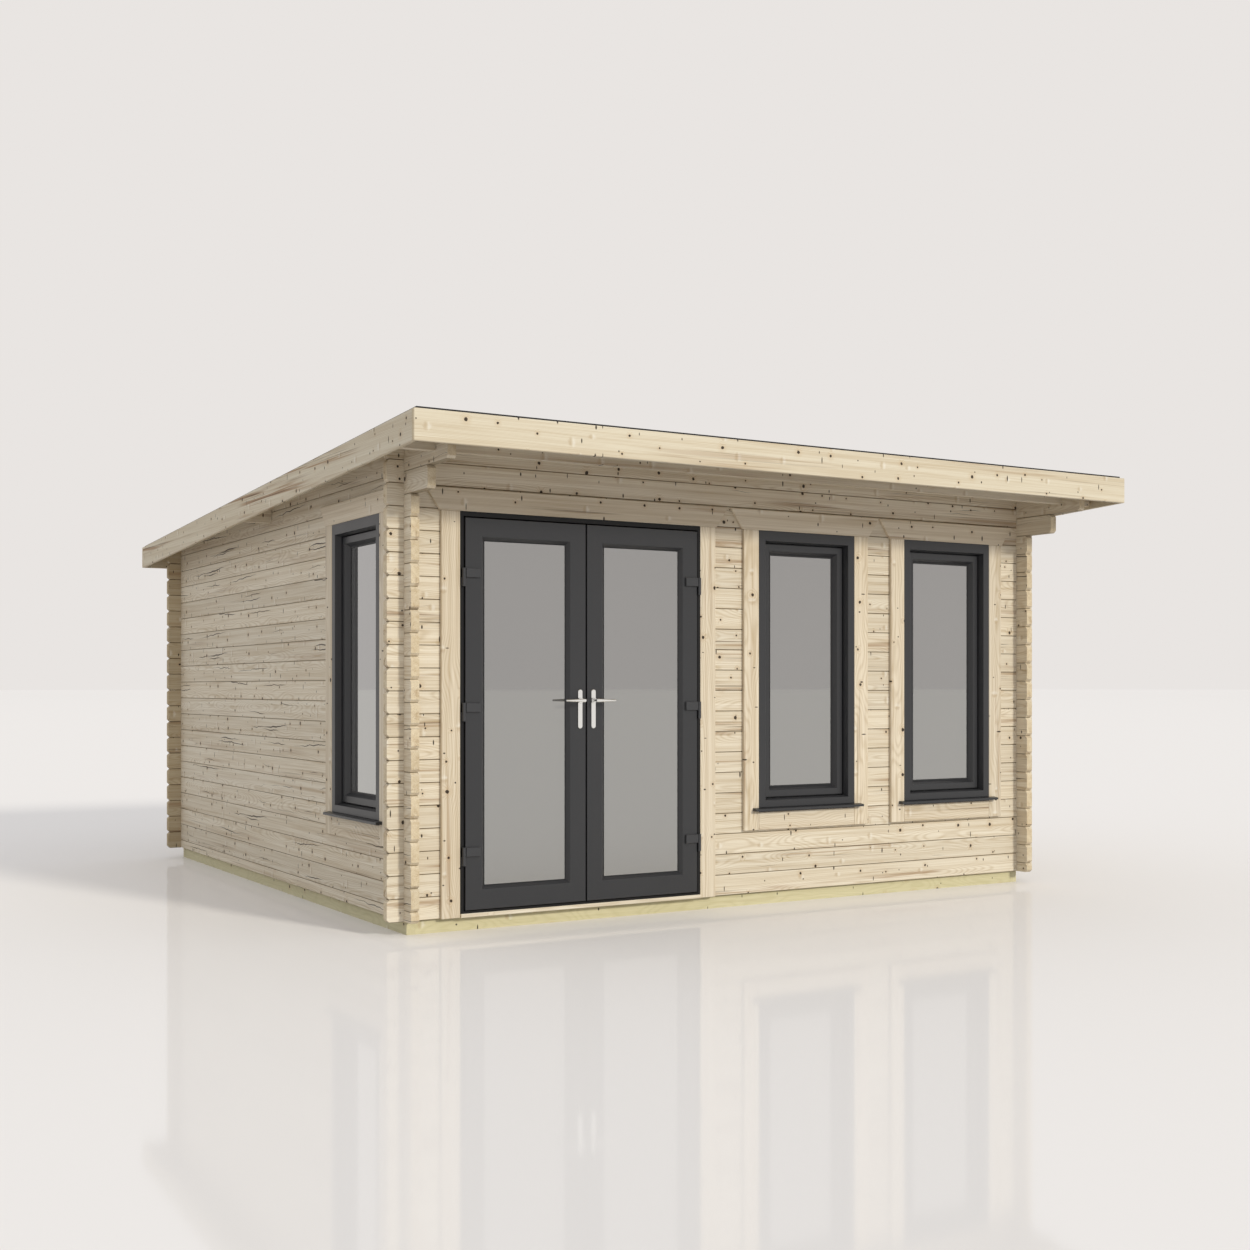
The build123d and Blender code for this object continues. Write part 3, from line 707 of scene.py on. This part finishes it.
def fascia_board(axis):
    """Board coordinates for fascias along one axis, told apart by the side that they are on."""

    def place_in(tree):
        sides = axes(tree)
        place = join(tree, sides[axis], sides[2], sides[1 - axis])
        return place, calc(tree, "SIGN", sides[1 - axis]), grain_end(tree, axis), None

    return place_in


across_fascia_timber = timber(
    "front and back fascia", fascia_board(0), seed=3.3, pale=fascia_pale, ring=spruce_ring,
    knots=0.75, streaks=0.35, cracks=0.1,
)
dress(across_fascia_timber, "front_fascia", "back_fascia")
side_fascia_timber = timber(
    "side fascias", fascia_board(1), seed=34.9, pale=fascia_pale, ring=spruce_ring,
    knots=0.7, streaks=0.9, cracks=0.7,
)
dress(side_fascia_timber, "side_fascias")

# Trim: planed spruce boards round each opening: uprights at the sides, a header with raked ends above
# and an apron under each window. Grain follows each board's length.
trim_pale = (0.735, 0.642, 0.490, 1.0)
header_slack = 0.001
header_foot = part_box("door_trim")[1].z - log_height - header_slack
sill_courses = 4
sill_level = wall_foot + sill_courses * log_height
apron_half = 0.343
trims = (
    ("door_trim", 0, 0.0), ("first_window_trim", 0, apron_half),
    ("second_window_trim", 0, apron_half), ("side_window_trim", 1, apron_half),
)
trim_seed = 2.0
trim_seed_step = 11.2
upright_seed = 1.5
flat_seed = 5.0
header_seed = 2.3


def trim_board(name, axis, apron):
    """Board coordinates for the boards round an opening in a wall along X (axis 0) or Y (axis 1)."""
    low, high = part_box(name)
    middle = (low + high)[axis] / 2

    def place_in(tree):
        sides = axes(tree)
        off = calc(tree, "SUBTRACT", sides[axis], middle)
        height = sides[2]
        header = calc(tree, "GREATER_THAN", height, header_foot)
        flat = header
        if apron:
            inside = calc(tree, "LESS_THAN", calc(tree, "ABSOLUTE", off), apron)
            under = calc(tree, "LESS_THAN", height, sill_level)
            flat = calc(tree, "MAXIMUM", header, calc(tree, "MULTIPLY", inside, under))
        along = choose(tree, flat, height, off)
        across = choose(tree, flat, off, height)
        number = calc(tree, "MULTIPLY", calc(tree, "SIGN", across), upright_seed)
        number = calc(tree, "MULTIPLY_ADD", flat, flat_seed, number)
        number = calc(tree, "MULTIPLY_ADD", header, header_seed, number)
        return join(tree, along, across, sides[1 - axis]), number, 0.0, None

    return place_in


for order, (name, axis, apron) in enumerate(trims):
    trim_timber = timber(
        name.replace("_", " "), trim_board(name, axis, apron), seed=trim_seed_step * order + trim_seed,
        pale=trim_pale, ring=spruce_ring, knots=0.5, streaks=0.5, cracks=0.2,
    )
    dress(trim_timber, name)

# Threshold: one planed spruce board that lies on the base across the doorway, under the door's sill.
# Its front edge stands out a little before the wall, and its grain runs along it.


def threshold_board(tree):
    """One board along X."""
    return own_place(tree), 0.0, grain_end(tree, 0), None


threshold_timber = timber(
    "threshold", threshold_board, seed=8.8, pale=spruce_pale, ring=spruce_ring,
    knots=0.4, streaks=0.3, cracks=0.1,
)
dress(threshold_timber, "door_threshold")

# Window and door profiles: welded plastic extrusions covered with a satin anthracite foil that has a
# faint pressed grain. The door frame, half hidden behind the leaves, gets a nearly black foil that is
# painted shade.
foil_grey = (0.0262, 0.0266, 0.0284, 1.0)
foil_worn = (0.0302, 0.0306, 0.0324, 1.0)
foil_shine = 0.5
# The door frame's near-black greys are painted shade for the shadow behind the leaves.
frame_black_painted_shade = (0.0080, 0.0079, 0.0080, 1.0)
frame_rubbed_painted_shade = (0.0120, 0.0118, 0.0120, 1.0)
frame_shine = 0.25
foil_grain_rate = (900.0, 900.0, 40.0)
foil_grain_depth = 0.00012
foil_haze_rate = (4.0, 4.0, 4.0)
foil_rough_least = 0.34
foil_rough_spread = 0.10
window_names = ("first_window", "second_window", "side_window")


def foil(name, grey, worn, shine):
    """A foil between two greys, with a fine grain up the profile and a faint haze."""
    material, tree, bsdf = surface(name, {"Specular IOR Level": shine})
    place = own_place(tree)
    haze = noise(tree, place, foil_haze_rate)
    rough = calc(tree, "MULTIPLY_ADD", haze, foil_rough_spread, foil_rough_least)
    tree.links.new(mix(tree, haze, grey, worn), bsdf.inputs["Base Color"])
    tree.links.new(rough, bsdf.inputs["Roughness"])
    relief(tree, bsdf, noise(tree, place, foil_grain_rate), foil_grain_depth)
    return material


anthracite = foil("anthracite foil", foil_grey, foil_worn, foil_shine)
dress(anthracite, "window_cills", "left_door_sash", "right_door_sash")
for name in window_names:
    dress(anthracite, f"{name}_frame", f"{name}_sash")
# The door frame's nearly black foil is painted shade.
dress(foil("painted shade black foil", frame_black_painted_shade, frame_rubbed_painted_shade, frame_shine), "door_frame")

# Glass: double glazed units held in the sashes by beads on black gaskets.
# Their coating gives a soft grey cast and mirrors the pale room more than bare glass would.
glass_grey = (0.165, 0.160, 0.149, 1.0)
glass_haze = (0.177, 0.172, 0.160, 1.0)
ripple_rate = (1.3, 1.3, 1.3)
ripple_depth = 0.0004
glass, tree, bsdf = surface(
    "double glazing",
    {"Roughness": 0.02, "IOR": 2.3, "Transmission Weight": 0.4, "Coat Weight": 1.0, "Coat IOR": 2.3,
     "Coat Roughness": 0.02},
)
ripple = noise(tree, own_place(tree), ripple_rate, detail=1.0)
tree.links.new(mix(tree, ripple, glass_grey, glass_haze), bsdf.inputs["Base Color"])
relief(tree, bsdf, ripple, ripple_depth)
dress(glass, "window_glass", "left_door_glass", "right_door_glass")

# Gaskets: black rubber strips pressed in between bead and glass on both sides of each unit.
# Each is a flat ring round the pane that stands a little way off it.
gasket_black = (0.012, 0.012, 0.013, 1.0)
gasket_bloom = (0.022, 0.022, 0.023, 1.0)
bloom_rate = (60.0, 60.0, 60.0)
bloom_depth = 0.0002
door_gasket_width = 0.003
window_gasket_width = 0.009
gasket_stand = 0.0025
pane_cover = 0.0115
solid_weld = 1e-5
rubber, tree, bsdf = surface("gasket rubber", {"Roughness": 0.6})
bloom = noise(tree, own_place(tree), bloom_rate)
tree.links.new(mix(tree, bloom, gasket_black, gasket_bloom), bsdf.inputs["Base Color"])
relief(tree, bsdf, bloom, bloom_depth)


def gasket_ring(mesh, low, high, axis, level, outward, width):
    """Add a flat ring of gasket round a pane's visible opening, on the pane's face at level."""
    middle = (low + high) / 2
    middle[axis] = level
    seen = high - low - 2 * pane_cover * Vector((1.0, 1.0, 1.0))
    turn = Matrix.Rotation(pi / 2, 4, "X")
    if axis == 0:
        turn = Matrix.Rotation(pi / 2, 4, "Z") @ turn
    place = Matrix.Translation(middle) @ turn @ Matrix.Diagonal((seen[1 - axis], seen.z, 1.0, 1.0))
    corners = bmesh.ops.create_grid(mesh, x_segments=1, y_segments=1, size=0.5, matrix=place)["verts"]
    face = corners[0].link_faces[0]
    ring = bmesh.ops.inset_region(
        mesh, faces=[face], thickness=width, use_even_offset=True, use_boundary=True
    )["faces"]
    bmesh.ops.delete(mesh, geom=[face], context="FACES_ONLY")
    raised = bmesh.ops.extrude_face_region(mesh, geom=ring)["geom"]
    push = Vector((0.0, 0.0, 0.0))
    push[axis] = outward * gasket_stand
    bmesh.ops.translate(mesh, vec=push, verts=[g for g in raised if isinstance(g, bmesh.types.BMVert)])


def solid_boxes(name):
    """The box of each separate solid in a node, found by walking along its edges."""
    copy = bmesh.new()
    copy.from_mesh(nodes[name].data)
    bmesh.ops.remove_doubles(copy, verts=copy.verts, dist=solid_weld)
    walked = set()
    boxes = []
    for start in copy.verts:
        if start in walked:
            continue
        walked.add(start)
        island = [start]
        for vert in island:
            for edge in vert.link_edges:
                other = edge.other_vert(vert)
                if other not in walked:
                    walked.add(other)
                    island.append(other)
        columns = list(zip(*(vert.co for vert in island)))
        boxes.append((Vector([min(c) for c in columns]), Vector([max(c) for c in columns])))
    copy.free()
    return boxes


for name, body, node, width in (
    ("left_door_gaskets", "left_door", "left_door_glass", door_gasket_width),
    ("right_door_gaskets", "right_door", "right_door_glass", door_gasket_width),
    ("window_gaskets", "cabin", "window_glass", window_gasket_width),
):
    ring_mesh = bmesh.new()
    for low, high in solid_boxes(node):
        axis = 1 if high.y - low.y < high.x - low.x else 0
        gasket_ring(ring_mesh, low, high, axis, low[axis], -1, width)
        gasket_ring(ring_mesh, low, high, axis, high[axis], 1, width)
    bmesh.ops.recalc_face_normals(ring_mesh, faces=ring_mesh.faces)
    piece(name, ring_mesh, rubber, body)

# Hinges: powder coated flag hinges, three to a leaf, in nearly the colour of the profiles.
# A moulded cap with rounded edges is clipped over each flag and hides its screws.
coat_grey = (0.0320, 0.0324, 0.0342, 1.0)
coat_worn = (0.0395, 0.0400, 0.0420, 1.0)
peel_rate = (500.0, 500.0, 500.0)
peel_depth = 0.0002
flag_thickness = 0.005
knuckle_width = 0.018
cap_gap = 0.0012
cap_depth = 0.0075
cap_ease = 0.0022
cap_ease_segments = 3
hinge_coat, tree, bsdf = surface("hinge coating", {"Roughness": 0.30})
peel = noise(tree, own_place(tree), peel_rate)
tree.links.new(mix(tree, peel, coat_grey, coat_worn), bsdf.inputs["Base Color"])
relief(tree, bsdf, peel, peel_depth)
dress(hinge_coat, "frame_hinges", "left_door_hinges", "right_door_hinges")
for hand in ("left", "right"):
    flag_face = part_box(f"{hand}_door_sash")[0].y - flag_thickness
    caps = bmesh.new()
    for low, high in solid_boxes(f"{hand}_door_hinges"):
        beside = knuckle_width + cap_gap
        from_x, to_x = (low.x + beside, high.x) if hand == "left" else (low.x, high.x - beside)
        add_board(
            caps,
            Vector((from_x, flag_face - cap_depth, low.z + cap_gap)),
            Vector((to_x, flag_face, high.z - cap_gap)),
        )
    soften(caps, cap_ease, cap_ease_segments)
    piece(f"{hand}_hinge_caps", caps, hinge_coat, f"{hand}_door")

# Handles: polished chrome levers on long plates, one outside and one inside each leaf.
# A turned collar covers each spindle, and two socket screws hold each inner plate.
chrome_pale = (0.86, 0.86, 0.85, 1.0)
chrome_dull = (0.80, 0.80, 0.79, 1.0)
polish_rate = (90.0, 900.0, 900.0)
chrome_rough_least = 0.12
chrome_rough_spread = 0.10
collar_bore = 0.0092
collar_foot = 0.0170
collar_top = 0.0150
collar_rise = 0.0130
collar_steps = 32
collar_weld = 1e-6
screw_head = 0.0036
screw_taper = 0.85
screw_rise = 0.0016
screw_socket = 0.0017
screw_sides = 18
screw_drop = 0.0130
chrome, tree, bsdf = surface("polished chrome", {"Metallic": 1.0})
marks = noise(tree, own_place(tree), polish_rate)
rough = calc(tree, "MULTIPLY_ADD", marks, chrome_rough_spread, chrome_rough_least)
tree.links.new(mix(tree, marks, chrome_pale, chrome_dull), bsdf.inputs["Base Color"])
tree.links.new(rough, bsdf.inputs["Roughness"])
dress(chrome, "left_door_plates", "right_door_plates", "left_door_lever", "right_door_lever")


def add_collar(mesh, centre, outward):
    """Spin a tapered ring round a spindle, standing on the leaf's face at centre."""
    section = (
        (collar_bore, 0.0), (collar_foot, 0.0), (collar_foot, collar_rise / 2),
        (collar_top, collar_rise), (collar_bore, collar_rise),
    )
    corners = [mesh.verts.new(centre + Vector((out, outward * up, 0.0))) for out, up in section]
    edges = [mesh.edges.new((corners[i - 1], corners[i])) for i in range(len(corners))]
    bmesh.ops.spin(
        mesh, geom=corners + edges, cent=centre, axis=(0.0, 1.0, 0.0), angle=2 * pi, steps=collar_steps,
        use_merge=True, use_duplicate=False,
    )


def add_screw(mesh, centre):
    """Add a screw head with a socket, facing into the room."""
    middle = centre + Vector((0.0, screw_rise / 2, 0.0))
    place = Matrix.Translation(middle) @ Matrix.Rotation(-pi / 2, 4, "X")
    head = bmesh.ops.create_cone(
        mesh, cap_ends=True, segments=screw_sides, radius1=screw_head, radius2=screw_head * screw_taper,
        depth=screw_rise, matrix=place,
    )["verts"]
    cap = max({f for v in head for f in v.link_faces}, key=lambda f: f.calc_center_median().y)
    bmesh.ops.inset_region(mesh, faces=[cap], thickness=screw_socket, use_even_offset=True)
    bmesh.ops.translate(mesh, vec=(0.0, -screw_rise / 2, 0.0), verts=cap.verts)


for hand in ("left", "right"):
    low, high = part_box(f"{hand}_door_plates")
    leaf_low, leaf_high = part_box(f"{hand}_door_sash")
    lever_low, lever_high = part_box(f"{hand}_door_lever")
    middle_x = (low.x + high.x) / 2
    spindle_z = (lever_low.z + lever_high.z) / 2
    fittings = bmesh.new()
    add_collar(fittings, Vector((middle_x, leaf_low.y, spindle_z)), -1)
    add_collar(fittings, Vector((middle_x, leaf_high.y, spindle_z)), 1)
    bmesh.ops.remove_doubles(fittings, verts=fittings.verts, dist=collar_weld)
    for level in (low.z + screw_drop, high.z - screw_drop):
        add_screw(fittings, Vector((middle_x, high.y, level)))
    bmesh.ops.recalc_face_normals(fittings, faces=fittings.faces)
    piece(f"{hand}_handle_fittings", fittings, chrome, f"{hand}_door")

# Stage: a plain pale polished floor under a pale backdrop, with one soft sun from the front right.
# The backdrop's colour is what camera, mirrors and glass see, and a cooler fill lights the object.
backdrop = (0.814, 0.783, 0.761, 1.0)
fill_cool = (0.740, 0.756, 0.800, 1.0)
floor_white = (0.882, 0.845, 0.799, 1.0)
floor_dim = (0.605, 0.595, 0.605, 1.0)
floor_mirrored = (0.945, 0.910, 0.840, 1.0)
floor_gloss = (1.0, 1.0, 1.0, 1.0)
floor_gloss_share = 0.14
floor_gloss_rough = 0.06
floor_reach = 900.0
sun_elevation = radians(22.8)
sun_from_right = radians(18.0)
sun_width = radians(8.0)
sun_strength = 1.93
sun_warm = (1.0, 0.97, 0.90)


def either(tree, share, first, second):
    """One shader or the other, by share."""
    return put(tree, "MixShader", {0: share, 1: first.outputs[0], 2: second.outputs[0]})


# The camera sees the polished floor, light that it throws back is dimmer, and mirrors see it plain.
studio_floor = bpy.data.materials.new("studio floor")
tree = bare_tree(studio_floor)
matt = put(tree, "BsdfDiffuse", {"Color": floor_white})
gloss = put(tree, "BsdfGlossy", {"Color": floor_gloss, "Roughness": floor_gloss_rough})
bounce = put(tree, "BsdfDiffuse", {"Color": floor_dim})
mirrored = put(tree, "BsdfDiffuse", {"Color": floor_mirrored})
path = put(tree, "LightPath").outputs
ground_shader = either(tree, floor_gloss_share, matt, gloss)
ground_shader = either(tree, path["Is Diffuse Ray"], ground_shader, bounce)
ground_shader = either(tree, path["Is Glossy Ray"], ground_shader, mirrored)
tree.links.new(ground_shader.outputs[0], put(tree, "OutputMaterial").inputs["Surface"])
ground_mesh = bmesh.new()
bmesh.ops.create_grid(ground_mesh, x_segments=1, y_segments=1, size=floor_reach)
mesh_object("studio_floor", ground_mesh, studio_floor)

world = bpy.data.worlds.new("studio")
tree = bare_tree(world)
path = put(tree, "LightPath").outputs
through = calc(tree, "MAXIMUM", path["Is Glossy Ray"], path["Is Transmission Ray"])
seen = calc(tree, "MAXIMUM", path["Is Camera Ray"], through)
fill = put(tree, "Background", {"Color": fill_cool, "Strength": 1.0})
shown = put(tree, "Background", {"Color": backdrop, "Strength": 1.0})
sky = either(tree, seen, fill, shown)
tree.links.new(sky.outputs[0], put(tree, "OutputWorld").inputs["Surface"])
bpy.context.scene.world = world

sun_data = bpy.data.lights.new("sun", "SUN")
sun_data.energy = sun_strength
sun_data.angle = sun_width
sun_data.color = sun_warm
sun = bpy.data.objects.new("sun", sun_data)
sun.rotation_euler = (pi / 2 - sun_elevation, 0.0, sun_from_right)
sun.visible_glossy = False
bpy.context.scene.collection.objects.link(sun)

# Camera: level and below eye height, in front of the left corner.
# The lens is shifted up so that upright edges stay upright with the horizon where the photograph has it.
camera_place = (-5.0584, -8.9741, 1.2254)
camera_turn = radians(-30.818)
sensor_width_mm = 36.0
lens_mm = 44.443
lens_shift = 0.0503
view_reach = 5000.0
camera_data = bpy.data.cameras.new("camera")
camera_data.sensor_width = sensor_width_mm
camera_data.lens = lens_mm
camera_data.shift_y = lens_shift
camera_data.clip_end = view_reach
camera = bpy.data.objects.new("camera", camera_data)
camera.location = camera_place
camera.rotation_euler = (pi / 2, 0.0, camera_turn)
bpy.context.scene.collection.objects.link(camera)
bpy.context.scene.camera = camera
bpy.context.scene.view_settings.view_transform = "Standard"
